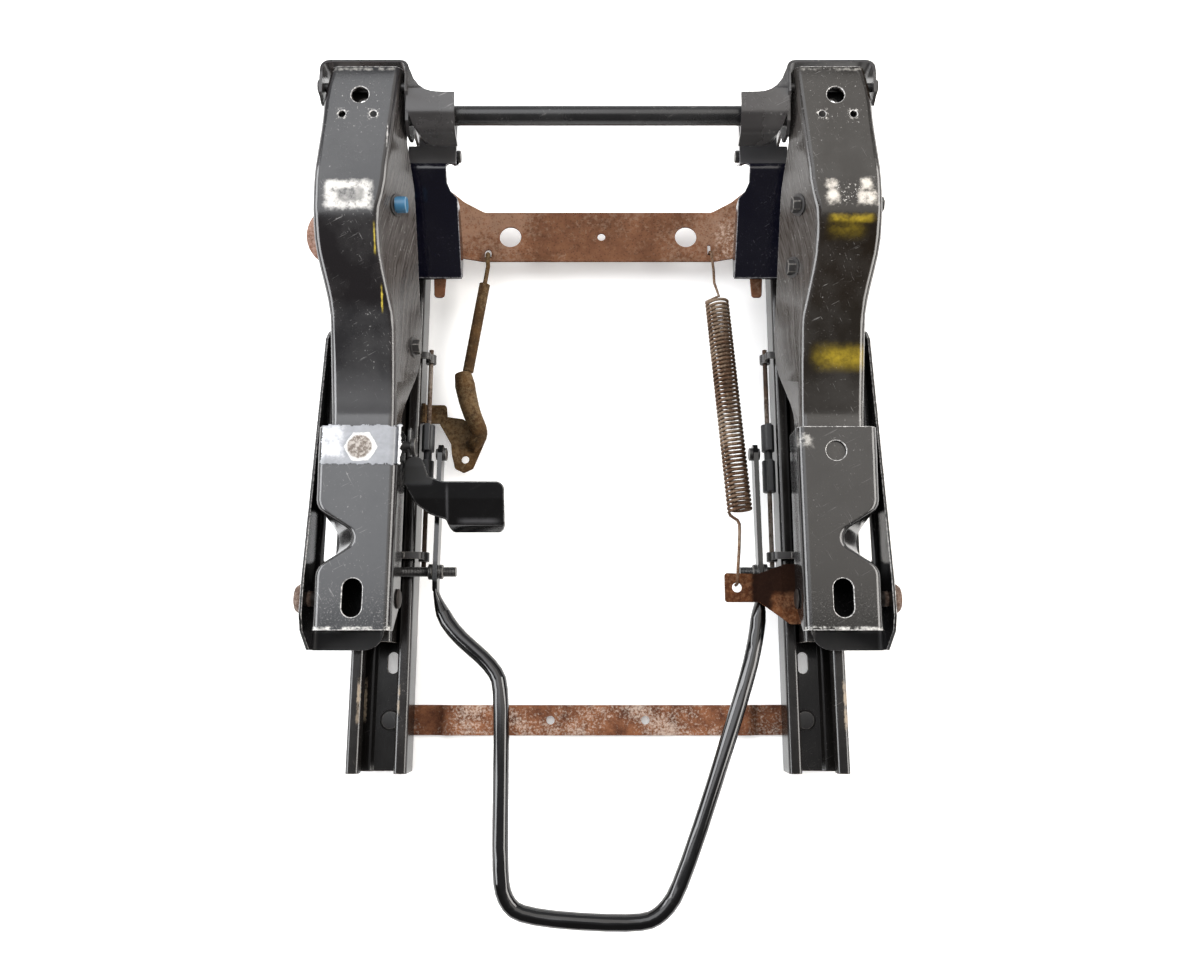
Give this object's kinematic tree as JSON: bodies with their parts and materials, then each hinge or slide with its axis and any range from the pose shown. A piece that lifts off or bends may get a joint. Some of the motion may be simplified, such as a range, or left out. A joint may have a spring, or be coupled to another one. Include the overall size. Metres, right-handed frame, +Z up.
{
  "type": "seat slide rail",
  "caption": "Manual seat slide track: paired rails with tilting pressed brackets, rear latch rod, bent release bar and assist spring for mounting a seat on a vehicle floor.",
  "frame": {"origin": "floor plane, at the centre of the four floor bolt holes", "axes": "+X to the right seen from the seat's front, +Y to the rear of the vehicle, +Z up"},
  "size_m": [0.5115, 0.678, 0.151],
  "materials": {
    "black_paint": "worn gloss black paint",
    "bracket_paint": "scuffed satin black paint with bare edges",
    "rusty_steel": "bare steel with brown surface rust",
    "nylon": "greased nylon",
    "black_plastic": "matte moulded plastic",
    "blue_paint": "blue thread locker on the bolt tip"
  },
  "bodies": {
    "base": {"lower_rail_right": "black_paint", "lower_rail_left": "black_paint", "floor_pads": "black_paint", "front_strap": "rusty_steel", "strap_rivets": "black_paint", "rear_cross_member": "rusty_steel", "belt_ear": "rusty_steel", "link_crank": "rusty_steel", "link_sleeve": "rusty_steel", "assist_spring": "rusty_steel"},
    "carriage": {"upper_rail_right": "black_paint", "upper_rail_left": "black_paint", "glide_shoes": "nylon", "pivot_tray_right": "black_paint", "pivot_tray_left": "black_paint", "latch_support_right": "black_paint", "latch_support_left": "black_paint", "striker_pins": "black_paint", "lock_rods": "rusty_steel", "rod_clips": "black_paint", "bar_studs": "black_paint", "spring_anchor": "rusty_steel"},
    "seat_frame": {"seat_bracket_right": "bracket_paint", "seat_bracket_left": "bracket_paint", "front_cap_right": "bracket_paint", "front_cap_left": "bracket_paint", "bolt_plates": "black_paint", "pivot_rivets": "rusty_steel", "wall_bolts": "black_paint", "blue_bolt": "blue_paint", "paddle_pin": "black_paint"},
    "latch": {"latch_yoke_right": "bracket_paint", "latch_yoke_left": "bracket_paint", "cross_rod": "black_paint", "yoke_pins": "black_paint"},
    "release": {"release_bar": "black_paint", "bar_rivets": "black_paint"},
    "paddle": {"paddle_lever": "black_paint"},
    "lock_right": {"lock_sleeves_right": "black_plastic"},
    "lock_left": {"lock_sleeves_left": "black_plastic"}
  },
  "joints": [
    {"name": "slide", "type": "slide", "parent": "base", "child": "carriage", "axis": [0, 1, 0], "range_m": [-0.1, 0.025], "deforming": ["assist_spring"]},
    {"name": "tilt", "type": "hinge", "parent": "carriage", "child": "seat_frame", "pos_m": [0, -0.127, 0.072], "axis": [1, 0, 0], "range_deg": [0, 55]},
    {"name": "latch_turn", "type": "hinge", "parent": "seat_frame", "child": "latch", "pos_m": [0, 0.28, 0.141], "axis": [1, 0, 0], "range_deg": [0, 18]},
    {"name": "release_lift", "type": "hinge", "parent": "carriage", "child": "release", "pos_m": [0, -0.102, 0.0405], "axis": [-1, 0, 0], "range_deg": [0, 6]},
    {"name": "paddle_lift", "type": "hinge", "parent": "seat_frame", "child": "paddle", "pos_m": [-0.1545, -0.003, 0.074], "axis": [-1, 0, 0], "range_deg": [0, 14]},
    {"name": "lock_turn_right", "type": "hinge", "parent": "carriage", "child": "lock_right", "pos_m": [0.148, 0, 0.027], "axis": [0, 1, 0], "range_deg": [0, 12]},
    {"name": "lock_turn_left", "type": "hinge", "parent": "carriage", "child": "lock_left", "pos_m": [-0.148, 0, 0.027], "axis": [0, -1, 0], "range_deg": [0, 12]}
  ],
  "couplings": [
    {"joint": "lock_turn_right", "follows": "release_lift", "ratio": 2},
    {"joint": "lock_turn_left", "follows": "release_lift", "ratio": 2}
  ]
}
